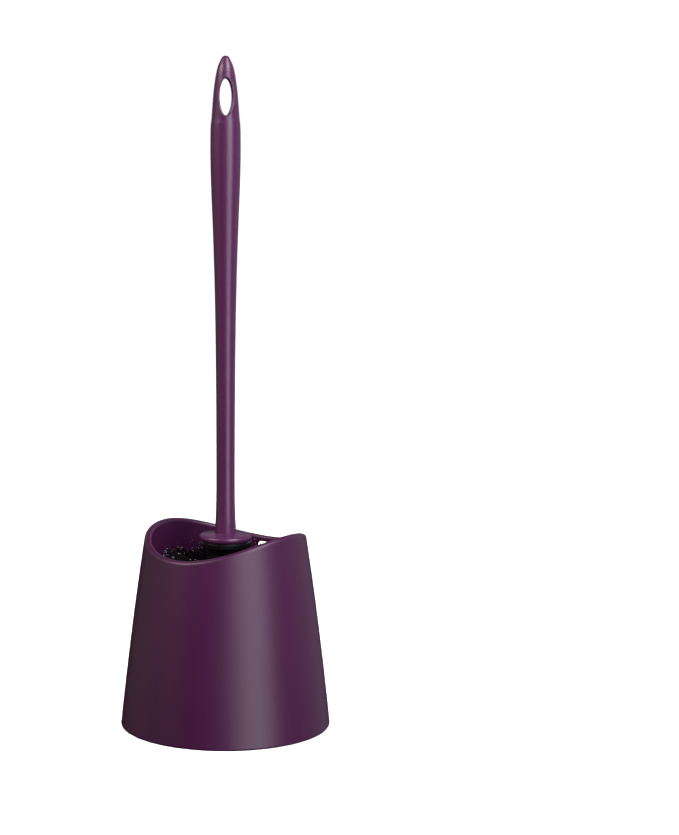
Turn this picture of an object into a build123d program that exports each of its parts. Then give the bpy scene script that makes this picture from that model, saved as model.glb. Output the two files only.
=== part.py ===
from build123d import *
import os
from math import cos, radians, sin

# Toilet brush standing in its holder. Millimetres, +Z up, origin on the floor at the
# centre of the round base. The hang hole through the handle looks nearly along Y.

os.makedirs("parts", exist_ok=True)

# ---- Driving dimensions ------------------------------------------------------------

overall_height = 381.0  # floor to the tip of the handle, 15 in
base_radius = 60.42  # gives a 4.75 in base, widest just above its rounded edge

# Holder shell: a slightly convex cone, open below, with a saddle-shaped rim
blank_height = 120.0  # height of the cone before the saddle is cut
blank_top_radius = 44.7
outer_bulge = 0.88  # how far the side stands out from a straight cone
base_wall = 2.6
rim_wall = 4.5
inner_bulge = 1.2
valley_height = 102.4  # the rim's two low points
saddle_radius = 80.0  # horizontal cylinder that cuts the rim
peak_angle = -36.0  # direction of one of the rim's two high points, from +X
lip_outer_radius = 2.3
lip_inner_radius = 1.5
foot_edge_radius = 0.9

# Hanging slot through the wall under the back valley
slot_width = 20.0
slot_height = 7.0
slot_drop = 6.9  # from the valley down to the slot's centre
slot_edge_radius = 0.4

# Snap joint between the shell and the tray
snap_height = 5.4
groove_radius = 1.0
bead_radius = 0.85
tray_gap = 0.15

# Drip tray
tray_floor_bottom = 1.2
tray_floor_top = 3.6
tray_wall = 2.0
tray_height = 12.0
foot_ring_inner = 45.0
foot_ring_outer = 48.0
cup_radius = 31.0  # inside of the ring that the bristles stand in
cup_wall = 2.2
cup_height = 16.0
rib_count = 8
rib_length = 7.0
rib_thickness = 1.8
rib_overlap = 0.5  # how far a gusset runs into the cup's wall
rib_turn = 22.5  # direction of the first gusset, from +X
notch_count = 4
notch_width = 7.0
notch_turn = 45.0
tray_edge = 0.5

# Handle: slim rod, swelling grip, collar and screw stud, in one moulding
collar_bottom = 107.2
collar_radius = 15.1
collar_edge_middle = 2.1  # height of the collar's widest point above its underside
collar_edge_height = 3.6  # height of the collar's upper edge above its underside
collar_under_inset = 0.9  # how far the underside's edge lies inside the widest point
collar_top_inset = 1.3
collar_rise = 4.5  # from the underside to where the shallow top meets the neck
neck_radius = 6.2  # the neck where it meets the collar
rod_foot_radius = 5.84
rod_foot_height = 118.0
rod_waist_radius = 5.32
rod_waist_height = 152.0
grip_radius = 8.52  # the grip at its thickest
grip_height = 329.0
tip_radius = 2.55
tip_angle = 28.0  # how far round the nose's arc ends above the horizontal
collar_fillet = 3.2
stud_radius = 5.0
stud_length = 19.0
stud_chamfer = 1.0
hang_hole_half_width = 3.6
hang_hole_half_height = 10.25
hang_hole_height = 358.2
hang_hole_turn = 3.5  # the brush stands turned a little in its holder
hang_hole_edge = 0.7

# Brush hub
hub_top = 107.0
flange_radius = 14.6
flange_thickness = 3.4
flange_edge = 0.6
core_radius = 10.5
core_end_height = 30.5  # centre of the core's round end
socket_clearance = 0.06
socket_depth = 19.5
coring_radius = 4.0
coring_end_height = 34.0

# Bristle tufts
ring_count = 8
tufts_per_ring = 12
top_ring_height = 88.5
bottom_ring_height = 34.0
top_ring_tilt = 9.0  # degrees above the horizontal
bottom_ring_tilt = -44.0
tuft_length = 26.5
tuft_root_radius = 1.45
tuft_tip_radius = 5.0
crown_count = 6
crown_tilt = -58.0
crown_length = 17.6
end_tuft_length = 15.9
end_tuft_tip_radius = 4.0
hole_radius = 1.5
hole_depth = 4.0
tuft_stem = 2.0  # straight part of a tuft, and of its hole's run-out, past the hub
tuft_seat = 2.3  # how deep a tuft stands in its hole
anchor_width = 3.3  # a little wider than the hole, so it bites into the hub
anchor_thickness = 0.4
anchor_height = 1.6


def arched(height, foot, top, bulge):
    """Radius at a height of a cone side that stands out by bulge at mid height."""
    t = height / blank_height
    return foot + (top - foot) * t + 4 * bulge * t * (1 - t)


def outer_radius(height):
    return arched(height, base_radius, blank_top_radius, outer_bulge)


def inner_radius(height):
    return arched(height, base_radius - base_wall, blank_top_radius - rim_wall, inner_bulge)


def label_and_write(builder, name):
    builder.part.label = name
    export_step(builder.part, f"parts/{name}.step")


# ---- Holder shell ------------------------------------------------------------------

half_height = blank_height / 2
peak = radians(peak_angle)
valley = radians(peak_angle + 90)
saddle_plane = Plane(
    origin=(0, 0, 0), x_dir=(cos(peak), sin(peak), 0), z_dir=(sin(peak), -cos(peak), 0)
)
slot_centre_height = valley_height - slot_drop
slot_plane = Plane(
    origin=(
        outer_radius(slot_centre_height) * cos(valley),
        outer_radius(slot_centre_height) * sin(valley),
        slot_centre_height,
    ),
    x_dir=(-sin(valley), cos(valley), 0),
    z_dir=(cos(valley), sin(valley), 0),
)


def rim_edges(shell):
    """Edges that lie wholly in the upper half, from the shortest to the longest."""
    upper = shell.edges().filter_by(lambda e: e.bounding_box().min.Z > half_height)
    return upper.sort_by(SortBy.LENGTH)


with BuildPart() as holder_shell:
    with BuildSketch(Plane.XZ):
        with BuildLine():
            outside = ThreePointArc(
                (outer_radius(0), 0),
                (outer_radius(half_height), half_height),
                (outer_radius(blank_height), blank_height),
            )
            inside = ThreePointArc(
                (inner_radius(0), 0),
                (inner_radius(half_height), half_height),
                (inner_radius(blank_height), blank_height),
            )
            Line(outside @ 0, inside @ 0)
            Line(outside @ 1, inside @ 1)
        make_face()
    revolve(axis=Axis.Z)
    fillet(holder_shell.edges().filter_by(GeomType.CIRCLE).group_by(Axis.Z)[0], foot_edge_radius)
    with BuildSketch(saddle_plane):
        with Locations((0, valley_height + saddle_radius)):
            Circle(saddle_radius)
    extrude(amount=2 * base_radius, both=True, mode=Mode.SUBTRACT)
    fillet(rim_edges(holder_shell)[0], lip_inner_radius)
    fillet(rim_edges(holder_shell)[-1], lip_outer_radius)
    with BuildSketch(slot_plane):
        SlotOverall(slot_width, slot_height)
    extrude(amount=3 * rim_wall, both=True, mode=Mode.SUBTRACT)
    # The mouths of the slot; its four edges through the wall are shorter
    mouths = holder_shell.edges(Select.LAST).filter_by(lambda e: e.length > rim_wall)
    fillet(mouths, slot_edge_radius)
    with BuildSketch(Plane.XZ):
        with Locations((inner_radius(snap_height), snap_height)):
            Circle(groove_radius)
    revolve(axis=Axis.Z, mode=Mode.SUBTRACT)

label_and_write(holder_shell, "holder_shell")


# ---- Drip tray ---------------------------------------------------------------------

tray_foot_radius = inner_radius(tray_floor_bottom) - tray_gap
tray_rim_radius = inner_radius(tray_height) - tray_gap
cup_outside = cup_radius + cup_wall
cup_middle = cup_radius + cup_wall / 2
rib_middle = cup_outside + (rib_length - rib_overlap) / 2

with BuildPart() as drip_tray:
    with BuildSketch(Plane.XZ):
        with BuildLine():
            Polyline(
                (0, tray_floor_bottom),
                (foot_ring_inner, tray_floor_bottom),
                (foot_ring_inner, 0),
                (foot_ring_outer, 0),
                (foot_ring_outer, tray_floor_bottom),
                (tray_foot_radius, tray_floor_bottom),
                (tray_rim_radius, tray_height),
                (tray_rim_radius - tray_wall, tray_height),
                (tray_foot_radius - tray_wall, tray_floor_top),
                (cup_outside, tray_floor_top),
                (cup_outside, cup_height),
                (cup_radius, cup_height),
                (cup_radius, tray_floor_top),
                (0, tray_floor_top),
                close=True,
            )
        make_face()
    revolve(axis=Axis.Z)
    top_edges = drip_tray.edges().filter_by_position(Axis.Z, tray_height, cup_height)
    chamfer(top_edges.filter_by(GeomType.CIRCLE), tray_edge)
    with BuildSketch(Plane.XZ):
        with Locations((inner_radius(snap_height), snap_height)):
            Circle(bead_radius)
    revolve(axis=Axis.Z)
    # Gussets that stiffen the cup, spread between the drain notches
    with BuildSketch(Plane.XY.offset(tray_floor_top)):
        with PolarLocations(rib_middle, rib_count, start_angle=rib_turn):
            Rectangle(rib_length + rib_overlap, rib_thickness)
    extrude(amount=(cup_height - tray_floor_top) / 2)
    with BuildSketch(Plane.XY.offset(tray_floor_top)):
        with PolarLocations(cup_middle, notch_count, start_angle=notch_turn):
            Rectangle(2 * cup_wall, notch_width)
    extrude(amount=cup_height, mode=Mode.SUBTRACT)

label_and_write(drip_tray, "drip_tray")


# ---- Handle ------------------------------------------------------------------------

neck_meets_collar = (neck_radius, collar_bottom + collar_rise)
hole_turn = radians(hang_hole_turn)
hang_hole_plane = Plane(
    origin=(0, 0, hang_hole_height),
    x_dir=(cos(hole_turn), sin(hole_turn), 0),
    z_dir=(sin(hole_turn), -cos(hole_turn), 0),
)

with BuildPart() as handle:
    with BuildSketch(Plane.XZ):
        with BuildLine():
            nose = CenterArc((0, overall_height - tip_radius), tip_radius, 90, tip_angle - 90)
            grip = Spline(
                nose @ 1,
                (4.13, 375.6),
                (5.72, 368.7),
                (6.86, 359.8),
                (7.88, 346.5),
                (grip_radius, grip_height),
                tangents=(nose % 1, (0, -1)),
            )
            rod = Spline(
                grip @ 1,
                (7.4, 290),
                (6.06, 245),
                (5.47, 199),
                (rod_waist_radius, rod_waist_height),
                tangents=((0, -1), (0, -1)),
            )
            neck = Line((rod_foot_radius, rod_foot_height), neck_meets_collar)
            Spline(rod @ 1, neck @ 0, tangents=((0, -1), neck % 0))
            top = Line(
                neck @ 1, (collar_radius - collar_top_inset, collar_bottom + collar_edge_height)
            )
            edge = ThreePointArc(
                top @ 1,
                (collar_radius, collar_bottom + collar_edge_middle),
                (collar_radius - collar_under_inset, collar_bottom),
            )
            Polyline(
                edge @ 1,
                (stud_radius, collar_bottom),
                (stud_radius, collar_bottom - stud_length + stud_chamfer),
                (stud_radius - stud_chamfer, collar_bottom - stud_length),
                (0, collar_bottom - stud_length),
                (0, overall_height),
            )
        make_face()
        corner = Plane.XZ.from_local_coords(neck_meets_collar)
        fillet(vertices().sort_by_distance(corner)[0], collar_fillet)
    revolve(axis=Axis.Z)
    with BuildSketch(hang_hole_plane):
        Ellipse(hang_hole_half_width, hang_hole_half_height)
    extrude(amount=2 * collar_radius, both=True, mode=Mode.SUBTRACT)
    hole_mouths = handle.edges(Select.LAST).filter_by(GeomType.BSPLINE)
    fillet(hole_mouths, hang_hole_edge)

label_and_write(handle, "handle")


# ---- Brush hub, tufts and anchors --------------------------------------------------


def tuft_plane(radius, height, tilt, turn):
    """Plane on the hub's surface whose normal points along the tuft."""
    a, b = radians(turn), radians(tilt)
    return Plane(
        origin=(radius * cos(a), radius * sin(a), height),
        x_dir=(-sin(a), cos(a), 0),
        z_dir=(cos(b) * cos(a), cos(b) * sin(a), sin(b)),
    )


def ring_planes(ring):
    """One plane per tuft of a ring; each ring is turned half a step from the last."""
    part_way = ring / (ring_count - 1)
    height = top_ring_height + (bottom_ring_height - top_ring_height) * part_way
    tilt = top_ring_tilt + (bottom_ring_tilt - top_ring_tilt) * part_way
    step = 360 / tufts_per_ring
    return [
        tuft_plane(core_radius, height, tilt, step * (index + 0.5 * (ring % 2)))
        for index in range(tufts_per_ring)
    ]


def crown_planes():
    """Planes of the tufts on the core's round end."""
    reach, drop = core_radius * cos(radians(crown_tilt)), core_radius * sin(radians(crown_tilt))
    return [
        tuft_plane(reach, core_end_height + drop, crown_tilt, 360 / crown_count * (index + 0.25))
        for index in range(crown_count)
    ]


end_plane = tuft_plane(0, core_end_height - core_radius, -90, 0)
ring_sets = [ring_planes(ring) for ring in range(ring_count)]
all_planes = [plane for planes in ring_sets for plane in planes] + crown_planes() + [end_plane]

with BuildPart() as brush_hub:
    with BuildSketch(Plane.XZ):
        with BuildLine():
            start = (0, core_end_height - core_radius)
            round_end = RadiusArc(start, (core_radius, core_end_height), -core_radius)
            Polyline(
                round_end @ 1,
                (core_radius, hub_top - flange_thickness),
                (flange_radius, hub_top - flange_thickness),
                (flange_radius, hub_top),
                (0, hub_top),
                start,
            )
        make_face()
    revolve(axis=Axis.Z)
    chamfer(
        brush_hub.edges().filter_by(GeomType.CIRCLE).sort_by(SortBy.RADIUS)[-2:], flange_edge
    )
    with BuildSketch(Plane.XY.offset(hub_top)):
        Circle(stud_radius + socket_clearance)
    extrude(amount=-socket_depth, mode=Mode.SUBTRACT)
    with BuildSketch(Plane.XY.offset(hub_top)):
        Circle(coring_radius)
    extrude(amount=coring_end_height - hub_top, mode=Mode.SUBTRACT)
    with Locations(*[plane.offset(-hole_depth) for plane in all_planes]):
        Cylinder(
            hole_radius,
            hole_depth + tuft_stem,
            align=(Align.CENTER, Align.CENTER, Align.MIN),
            mode=Mode.SUBTRACT,
        )

label_and_write(brush_hub, "brush_hub")


def tufts(planes, length, tip_radius):
    """Tapered bundles, each seated in its hole and flaring towards its tips."""
    with BuildPart() as bundle:
        with Locations(*[plane.offset(-tuft_seat) for plane in planes]):
            Cylinder(
                tuft_root_radius,
                tuft_seat + tuft_stem,
                align=(Align.CENTER, Align.CENTER, Align.MIN),
            )
        with Locations(*[plane.offset(tuft_stem) for plane in planes]):
            Cone(
                tuft_root_radius,
                tip_radius,
                length - tuft_stem,
                align=(Align.CENTER, Align.CENTER, Align.MIN),
            )
    return bundle


for ring, planes in enumerate(ring_sets):
    label_and_write(tufts(planes, tuft_length, tuft_tip_radius), f"bristle_ring_{ring + 1}")
label_and_write(tufts(crown_planes(), crown_length, tuft_tip_radius), "bristle_crown")
label_and_write(tufts([end_plane], end_tuft_length, end_tuft_tip_radius), "bristle_end")

with BuildPart() as tuft_anchors:
    with Locations(*[plane.offset(-hole_depth) for plane in all_planes]):
        Box(
            anchor_width,
            anchor_thickness,
            anchor_height,
            align=(Align.CENTER, Align.CENTER, Align.MIN),
        )

label_and_write(tuft_anchors, "tuft_anchors")
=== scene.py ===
import math

import bmesh
import bpy
import numpy as np
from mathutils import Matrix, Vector


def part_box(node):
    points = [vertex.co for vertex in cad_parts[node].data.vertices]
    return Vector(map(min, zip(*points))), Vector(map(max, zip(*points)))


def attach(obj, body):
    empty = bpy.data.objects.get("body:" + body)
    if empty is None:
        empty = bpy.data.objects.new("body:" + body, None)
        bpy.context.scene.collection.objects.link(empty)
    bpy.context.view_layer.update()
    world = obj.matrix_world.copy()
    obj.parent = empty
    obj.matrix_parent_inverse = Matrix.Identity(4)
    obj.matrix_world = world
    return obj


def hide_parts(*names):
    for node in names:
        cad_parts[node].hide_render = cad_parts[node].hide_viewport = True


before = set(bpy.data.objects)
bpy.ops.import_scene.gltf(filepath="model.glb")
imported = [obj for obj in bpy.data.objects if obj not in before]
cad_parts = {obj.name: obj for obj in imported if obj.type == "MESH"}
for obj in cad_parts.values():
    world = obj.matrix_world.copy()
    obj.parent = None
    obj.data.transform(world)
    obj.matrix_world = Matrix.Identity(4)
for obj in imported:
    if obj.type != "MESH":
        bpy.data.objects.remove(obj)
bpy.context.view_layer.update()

MM = 0.001

# ---- Camera ------------------------------------------------------------------------

CAMERA_DISTANCE = 1.183  # metres, as are the other sizes below
CAMERA_HEIGHT = 0.3323
CAMERA_PITCH_DOWN = 7.435  # degrees
LENS = 90.42  # millimetres, as is the sensor's width
SENSOR = 36.0
SIDE_SHIFT = 0.1365  # the object stands left of the middle of the picture


def add_camera():
    data = bpy.data.cameras.new("camera")
    data.lens = LENS
    data.sensor_width = SENSOR
    data.shift_x = SIDE_SHIFT
    camera = bpy.data.objects.new("camera", data)
    camera.location = (0, -CAMERA_DISTANCE, CAMERA_HEIGHT)
    camera.rotation_euler = (math.radians(90 - CAMERA_PITCH_DOWN), 0, 0)
    bpy.context.scene.collection.objects.link(camera)
    bpy.context.scene.camera = camera


# ---- Studio ------------------------------------------------------------------------

FLOOR_HALF = 40.0
FLOOR_SUN = 4.6
FLOOR_SUN_SPREAD = 60  # degrees
FLOOR_SUN_TILT = (-12, 8)  # degrees about X and Y
WORLD_BRIGHTNESS = 1.0
LIGHT_DISTANCE = 1.4
AIM_HEIGHT = 0.15  # the point on the object's axis that the lights face
COOL = (0.94, 0.95, 1.0)
WARM = (1.0, 0.94, 0.86)


def add_floor():
    """A wide pale floor that neither lights the object nor shows in its gloss."""
    bpy.ops.mesh.primitive_plane_add(size=2 * FLOOR_HALF)
    floor = bpy.context.object
    floor.name = "floor"
    floor.visible_diffuse = False
    floor.visible_glossy = False
    material = bpy.data.materials.new("floor")
    material.use_nodes = True
    shader = material.node_tree.nodes["Principled BSDF"]
    shader.inputs["Base Color"].default_value = (0.8, 0.8, 0.8, 1)
    shader.inputs["Roughness"].default_value = 0.9
    shader.inputs["Specular IOR Level"].default_value = 0.1
    floor.data.materials.append(material)
    return floor


def add_softbox(name, colour, azimuth, elevation, width, height, power, distance=LIGHT_DISTANCE):
    """A rectangular light that faces the object; degrees, metres and watts.

    Azimuth 0 is the camera's side, and it counts to the right.
    """
    a, e = math.radians(azimuth), math.radians(elevation)
    aim = Vector((0, 0, AIM_HEIGHT))
    away = Vector((math.sin(a) * math.cos(e), -math.cos(a) * math.cos(e), math.sin(e)))
    data = bpy.data.lights.new(name, "AREA")
    data.shape = "RECTANGLE"
    data.size = width
    data.size_y = height
    data.energy = power
    data.color = colour
    light = bpy.data.objects.new(name, data)
    light.location = aim + away * distance
    light.rotation_mode = "QUATERNION"
    light.rotation_quaternion = away.to_track_quat("Z", "Y")
    light.visible_camera = False
    bpy.context.scene.collection.objects.link(light)


def add_sun_for(floor):
    """An overhead sun that only the floor receives, so that it stays evenly pale to the horizon."""
    data = bpy.data.lights.new("floor_sun", "SUN")
    data.energy = FLOOR_SUN
    data.angle = math.radians(FLOOR_SUN_SPREAD)
    sun = bpy.data.objects.new("floor_sun", data)
    sun.rotation_euler = (*(math.radians(tilt) for tilt in FLOOR_SUN_TILT), 0)
    bpy.context.scene.collection.objects.link(sun)
    lit = bpy.data.collections.new("lit_by_sun")
    lit.objects.link(floor)
    sun.light_linking.receiver_collection = lit


def add_world():
    """A white background that lights neither matt nor glossy surfaces."""
    world = bpy.data.worlds.new("studio")
    world.use_nodes = True
    world.node_tree.nodes["Background"].inputs["Color"].default_value = (1, 1, 1, 1)
    world.node_tree.nodes["Background"].inputs["Strength"].default_value = WORLD_BRIGHTNESS
    world.cycles_visibility.diffuse = False
    world.cycles_visibility.glossy = False
    bpy.context.scene.world = world


def add_studio():
    floor = add_floor()
    add_sun_for(floor)
    add_world()
    add_softbox("key", COOL, 32, 8, 1.0, 2.0, 20)
    add_softbox("high_key", COOL, 40, 17, 0.5, 0.4, 2.6)
    add_softbox("over_right", COOL, 45, 50, 0.75, 0.45, 11.5, 1.2)
    add_softbox("over_left", WARM, -66, 42, 0.6, 0.3, 5.4, 1.0)
    add_softbox("left_wide", WARM, -80, 8, 1.6, 1.4, 1.6)
    add_softbox("left_high", WARM, -72, 15, 0.9, 0.5, 0.9)
    add_softbox("right_wide", COOL, 118, 8, 1.8, 1.6, 3.3)
    add_softbox("left_back", WARM, -120, 8, 1.2, 1.4, 0.9)
    add_softbox("back", COOL, 180, 20, 2.0, 0.5, 1.2)
    bpy.context.scene.view_settings.view_transform = "Standard"


# ---- Materials ---------------------------------------------------------------------


class Nodes:
    """A material's node tree, with short ways to add and join nodes."""

    def __init__(self, name):
        self.material = bpy.data.materials.new(name)
        self.material.use_nodes = True
        self.tree = self.material.node_tree
        self.shader = self.tree.nodes["Principled BSDF"]
        self.place = self.tree.nodes.new("ShaderNodeTexCoord").outputs["Object"]

    def set(self, **values):
        """Fixed values on the shader's own sockets; _ stands for a space."""
        for name, value in values.items():
            self.shader.inputs[name.replace("_", " ")].default_value = value

    def join(self, output, socket):
        self.tree.links.new(output, self.shader.inputs[socket])

    def noise(self, scale, detail=2.0, rough=0.5, stretch=None):
        node = self.tree.nodes.new("ShaderNodeTexNoise")
        node.inputs["Scale"].default_value = scale
        node.inputs["Detail"].default_value = detail
        node.inputs["Roughness"].default_value = rough
        place = self.place
        if stretch:
            mapping = self.tree.nodes.new("ShaderNodeMapping")
            mapping.inputs["Scale"].default_value = stretch
            self.tree.links.new(place, mapping.inputs["Vector"])
            place = mapping.outputs["Vector"]
        self.tree.links.new(place, node.inputs["Vector"])
        return node.outputs["Fac"]

    def span(self, value, low, high, start=0.3, end=0.7):
        """A number from low to high as value goes from start to end."""
        node = self.tree.nodes.new("ShaderNodeMapRange")
        for name, number in zip(("From Min", "From Max", "To Min", "To Max"), (start, end, low, high)):
            node.inputs[name].default_value = number
        self.tree.links.new(value, node.inputs["Value"])
        return node.outputs["Result"]

    def blend(self, share, first, second):
        """A colour from first to second; each is a colour or another node's output."""
        node = self.tree.nodes.new("ShaderNodeMix")
        node.data_type = "RGBA"
        self.tree.links.new(share, node.inputs["Factor"])
        for socket, colour in ((node.inputs[6], first), (node.inputs[7], second)):
            if isinstance(colour, tuple):
                socket.default_value = (*colour, 1)
            else:
                self.tree.links.new(colour, socket)
        return node.outputs[2]

    def bump(self, height, depth, strength, under=None):
        node = self.tree.nodes.new("ShaderNodeBump")
        node.inputs["Strength"].default_value = strength
        node.inputs["Distance"].default_value = depth
        self.tree.links.new(height, node.inputs["Height"])
        if under is not None:
            self.tree.links.new(under, node.inputs["Normal"])
        return node.outputs["Normal"]


# Linear colours; the handle's colour is set a little lighter than the holder's
PURPLE = (0.062, 0.0079, 0.051)
PURPLE_DEEP = (0.053, 0.0067, 0.043)
HANDLE_PURPLE = (0.088, 0.017, 0.074)
HANDLE_DEEP = (0.078, 0.0145, 0.064)
HUB_BLACK = (0.003, 0.003, 0.0033)
HUB_CHARCOAL = (0.006, 0.006, 0.0065)
SHAFT_BLACK = (0.0015, 0.0015, 0.0017)
SHAFT_CHARCOAL = (0.003, 0.003, 0.0033)
# Filament ends painted light grey: a painted glint for the light that catches the bristle ends
GLINT_PALE = (0.42, 0.42, 0.41)
GLINT_GREY = (0.15, 0.15, 0.15)
STEEL_LIGHT = (0.55, 0.55, 0.57)
STEEL_DARK = (0.4, 0.4, 0.42)


def moulded_plastic(name, light, deep, roughness):
    """Satin polypropylene: slow colour drift, faint flow marks and a fine spark-eroded grain."""
    n = Nodes(name)
    drift = n.noise(14.0, 3.0)
    flow = n.noise(30.0, 4.0, 0.6, (1, 1, 0.15))
    n.join(n.blend(n.span(drift, 0, 1), light, deep), "Base Color")
    n.join(n.span(flow, roughness - 0.03, roughness + 0.03), "Roughness")
    n.set(IOR=1.49)
    fine = n.bump(n.noise(900.0, 2.0), 0.02 * MM, 0.6)
    n.join(n.bump(n.noise(60.0, 2.0), 0.03 * MM, 0.5, fine), "Normal")
    return n.material


def black_plastic():
    """Smooth black moulded plastic with slightly uneven gloss."""
    n = Nodes("black_plastic")
    drift = n.noise(40.0, 3.0)
    n.join(n.blend(n.span(drift, 0, 1), HUB_BLACK, HUB_CHARCOAL), "Base Color")
    n.join(n.span(n.noise(120.0, 3.0), 0.24, 0.34), "Roughness")
    n.set(IOR=1.5)
    n.join(n.bump(n.noise(700.0, 2.0), 0.015 * MM, 0.6), "Normal")
    return n.material


def bristle_plastic(name, light, dark, roughness, specular):
    """Extruded filament: fine colour and gloss changes, faint marks along its length."""
    n = Nodes(name)
    n.join(n.blend(n.span(n.noise(900.0, 2.0), 0, 1), light, dark), "Base Color")
    n.join(n.span(n.noise(300.0, 2.0), roughness - 0.06, roughness + 0.06), "Roughness")
    n.set(IOR=1.53, Specular_IOR_Level=specular)
    n.join(n.bump(n.noise(1500.0, 1.0, 0.5, (1, 1, 0.2)), 0.01 * MM, 0.5), "Normal")
    return n.material


def anchor_steel():
    """Flat wire with a drawn grain."""
    n = Nodes("anchor_steel")
    n.join(n.blend(n.span(n.noise(500.0, 2.0), 0, 1), STEEL_LIGHT, STEEL_DARK), "Base Color")
    n.join(n.span(n.noise(900.0, 2.0, 0.5, (6, 1, 1)), 0.25, 0.4), "Roughness")
    n.set(Metallic=1.0)
    return n.material


def paint(node, material):
    """Gives a CAD node's own object a finished material."""
    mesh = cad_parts[node].data
    mesh.materials.clear()
    mesh.materials.append(material)


# ---- Bristles ----------------------------------------------------------------------

FILAMENTS = 120
FILAMENT_RADIUS = 0.24 * MM
FILAMENT_SIDES = 5
FILAMENT_RINGS = 5
FILAMENT_TAPER = 0.15  # share of its radius that a filament loses towards its end
ROOT_PACKING = 0.82  # share of the tuft's root that the filaments fill
FLARE = 0.85  # 1 for tufts with straight sides, less for tufts that open early
SIDE_SPREAD = 2.1  # how much wider than its CAD stand-in a tuft's tips open round the head
UP_SPREAD = 2.0  # the same along the head
SPREAD_RANGE = (0.75, 1.1)  # how unevenly the filaments of a tuft open
TURN_JITTER = 0.25  # radians, how unevenly they are spaced round the tuft
DRIFT = 0.35 * MM  # how far a filament's end strays by itself
TUFT_LEAN = 0.02  # how far a whole tuft strays, as a share of its length
TRIM = 0.9 * MM  # how unevenly the tips are cut
SHORT_SHARE = 0.45  # share of the filaments that end well inside the tuft
SHORT_BY = 9.0 * MM  # the most that such a filament is shorter
GOLDEN_TURN = math.pi * (3 - math.sqrt(5))  # spaces filaments evenly over a disc
TRAY_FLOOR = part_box("drip_tray")[0].z + 3.9 * MM  # just above the tray's floor
CUP_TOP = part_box("drip_tray")[1].z + 0.3 * MM
CUP_REACH = 30.6 * MM  # just inside the tray's cup
GLINT_LENGTH = 0.6 * MM  # length of a filament's end that is painted light grey as a glint
GLINT_SHARE = 0.6  # share of the filaments that have one

SEAM = math.radians(-5)  # direction, clear of every tuft, where the count round the head starts
WELD = 0.001 * MM  # CAD points closer than this are one
END_BAND = 0.1 * MM  # depth of the slice that is taken as a tuft's end
NEARLY_UPRIGHT = 0.1  # sine of the angle to Z below which a direction counts as upright


def turn_from_seam(tuft):
    """Angle round the head at which a tuft's root stands."""
    root = tuft[0]
    return (math.atan2(root[1], root[0]) - SEAM) % (2 * math.pi)


def tuft_axes(node):
    """(root, tip, root radius, tip radius) of each tuft in a CAD node, in the row frame."""
    cad = bmesh.new()
    cad.from_mesh(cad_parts[node].data)
    bmesh.ops.remove_doubles(cad, verts=cad.verts, dist=WELD)
    seen, axes = set(), []
    for first in cad.verts:
        if first in seen:
            continue
        seen.add(first)
        todo, found = [first], []
        while todo:
            vert = todo.pop()
            found.append(vert.co[:])
            for edge in vert.link_edges:
                other = edge.other_vert(vert)
                if other not in seen:
                    seen.add(other)
                    todo.append(other)
        points = np.array(found)
        middle = (points.max(0) + points.min(0)) / 2
        axis = np.linalg.svd(points - points.mean(0), full_matrices=False)[2][0]
        along = (points - middle) @ axis
        ends = []
        for end in (along.min(), along.max()):
            ring = points[np.abs(along - end) < END_BAND]
            centre = ring.mean(0)
            ends.append((centre, np.linalg.norm(ring - centre, axis=1).max()))
        (root, root_radius), (tip, tip_radius) = sorted(ends, key=lambda end: end[1])
        axes.append((root, tip, root_radius, tip_radius))
    cad.free()
    return sorted(axes, key=turn_from_seam)


def across(direction):
    """Two unit vectors square to direction and to each other."""
    side = np.cross(direction, (0.0, 0.0, 1.0))
    if np.linalg.norm(side) < NEARLY_UPRIGHT:
        side = np.array((1.0, 0.0, 0.0))
    side = side / np.linalg.norm(side)
    return side, np.cross(direction, side)


def filament(points, painted_glint, verts, faces, tips):
    """Adds one round filament with a cut end along points; tips gets the faces of its end, which is
    painted light grey as a glint.
    """
    start = len(verts)
    direction = points[-1] - points[0]
    side, up = across(direction / np.linalg.norm(direction))
    last = len(points) - 1
    for index, point in enumerate(points):
        radius = FILAMENT_RADIUS * (1.0 - FILAMENT_TAPER * index / last)
        for step in range(FILAMENT_SIDES):
            angle = 2 * math.pi * step / FILAMENT_SIDES
            verts.append(point + radius * (math.cos(angle) * side + math.sin(angle) * up))
    for index in range(last):
        for step in range(FILAMENT_SIDES):
            a = start + index * FILAMENT_SIDES + step
            b = start + index * FILAMENT_SIDES + (step + 1) % FILAMENT_SIDES
            faces.append((a, b, b + FILAMENT_SIDES, a + FILAMENT_SIDES))
            if painted_glint and index == last - 1:
                tips.append(len(faces) - 1)
    end = start + last * FILAMENT_SIDES
    faces.append(tuple(range(end, end + FILAMENT_SIDES)))
    if painted_glint:
        tips.append(len(faces) - 1)
    faces.append(tuple(range(start + FILAMENT_SIDES - 1, start - 1, -1)))


def keep_clear(point):
    """Moves a point off the tray's floor and off the inside of the tray's cup."""
    point[2] = max(point[2], TRAY_FLOOR)
    reach = math.hypot(point[0], point[1])
    if point[2] < CUP_TOP and reach > CUP_REACH:
        point[:2] *= CUP_REACH / reach


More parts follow.
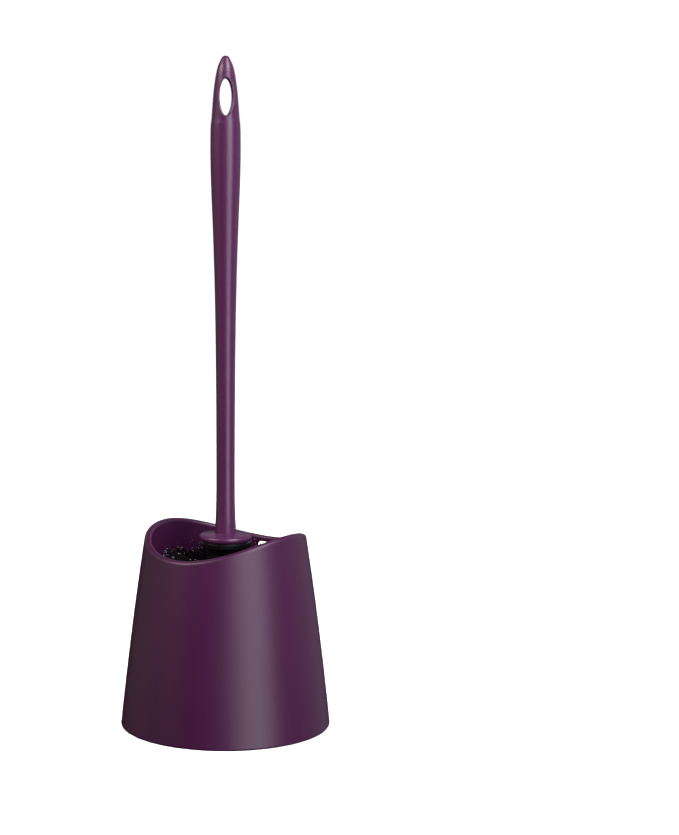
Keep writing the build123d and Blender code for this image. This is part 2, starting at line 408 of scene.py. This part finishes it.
def bristles(node, seed, shaft, tip):
    """Filaments in place of the tapered CAD tufts of one node; tip is the material of the painted
    glint on their ends.
    """
    rng = np.random.default_rng(seed)
    verts, faces, tips = [], [], []
    for root, end, root_radius, tip_radius in tuft_axes(node):
        length = np.linalg.norm(end - root)
        direction = (end - root) / length
        side, up = across(direction)
        lean = rng.normal(0, TUFT_LEAN, 2)
        for index in range(FILAMENTS):
            share = math.sqrt((index + 0.5) / FILAMENTS)
            angle = index * GOLDEN_TURN + rng.normal(0, TURN_JITTER)
            sideways = math.cos(angle) * side
            upward = math.sin(angle) * up
            foot = share * root_radius * ROOT_PACKING * (sideways + upward)
            opened = SIDE_SPREAD * sideways + UP_SPREAD * upward
            spread = share * tip_radius * rng.uniform(*SPREAD_RANGE) * opened
            drift = rng.normal(0, DRIFT, 2) + lean * length
            reach = length - abs(rng.normal(0, TRIM))
            if rng.random() < SHORT_SHARE:
                reach -= rng.uniform(0, SHORT_BY)
            points = []
            steps = np.linspace(0, 1 - GLINT_LENGTH / reach, FILAMENT_RINGS - 1).tolist() + [1]
            for t in steps:
                open_out = foot + (spread - foot) * t**FLARE
                wander = (drift[0] * side + drift[1] * up) * t * t
                point = root + direction * reach * t + open_out + wander
                keep_clear(point)
                points.append(point)
            filament(points, rng.random() < GLINT_SHARE, verts, faces, tips)
    mesh = bpy.data.meshes.new(node + "_filaments")
    mesh.from_pydata([tuple(v) for v in verts], [], faces)
    mesh.materials.append(shaft)
    mesh.materials.append(tip)
    mesh.polygons.foreach_set("use_smooth", [True] * len(faces))
    # the faces of the filament ends get the painted-glint material
    for index in tips:
        mesh.polygons[index].material_index = 1
    piece = bpy.data.objects.new(node + "_filaments", mesh)
    bpy.context.scene.collection.objects.link(piece)
    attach(piece, "brush_head")
    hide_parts(node)


# ---- Assembly ----------------------------------------------------------------------

add_camera()
add_studio()

shell_plastic = moulded_plastic("shell_plastic", PURPLE, PURPLE_DEEP, 0.4)
handle_plastic = moulded_plastic("handle_plastic", HANDLE_PURPLE, HANDLE_DEEP, 0.33)
tray_plastic = moulded_plastic("tray_plastic", PURPLE, PURPLE_DEEP, 0.5)
paint("holder_shell", shell_plastic)
paint("handle", handle_plastic)
paint("drip_tray", tray_plastic)
paint("brush_hub", black_plastic())
paint("tuft_anchors", anchor_steel())

bristle_shaft = bristle_plastic("bristle_shaft", SHAFT_BLACK, SHAFT_CHARCOAL, 0.45, 0.06)
# the filament ends get a light grey colour as a painted glint
bristle_painted_glint = bristle_plastic("bristle_painted_glint", GLINT_PALE, GLINT_GREY, 0.35, 0.5)
bristle_nodes = sorted(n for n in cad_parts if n.startswith("bristle_"))
for number, node_name in enumerate(bristle_nodes):
    bristles(node_name, number + 1, bristle_shaft, bristle_painted_glint)
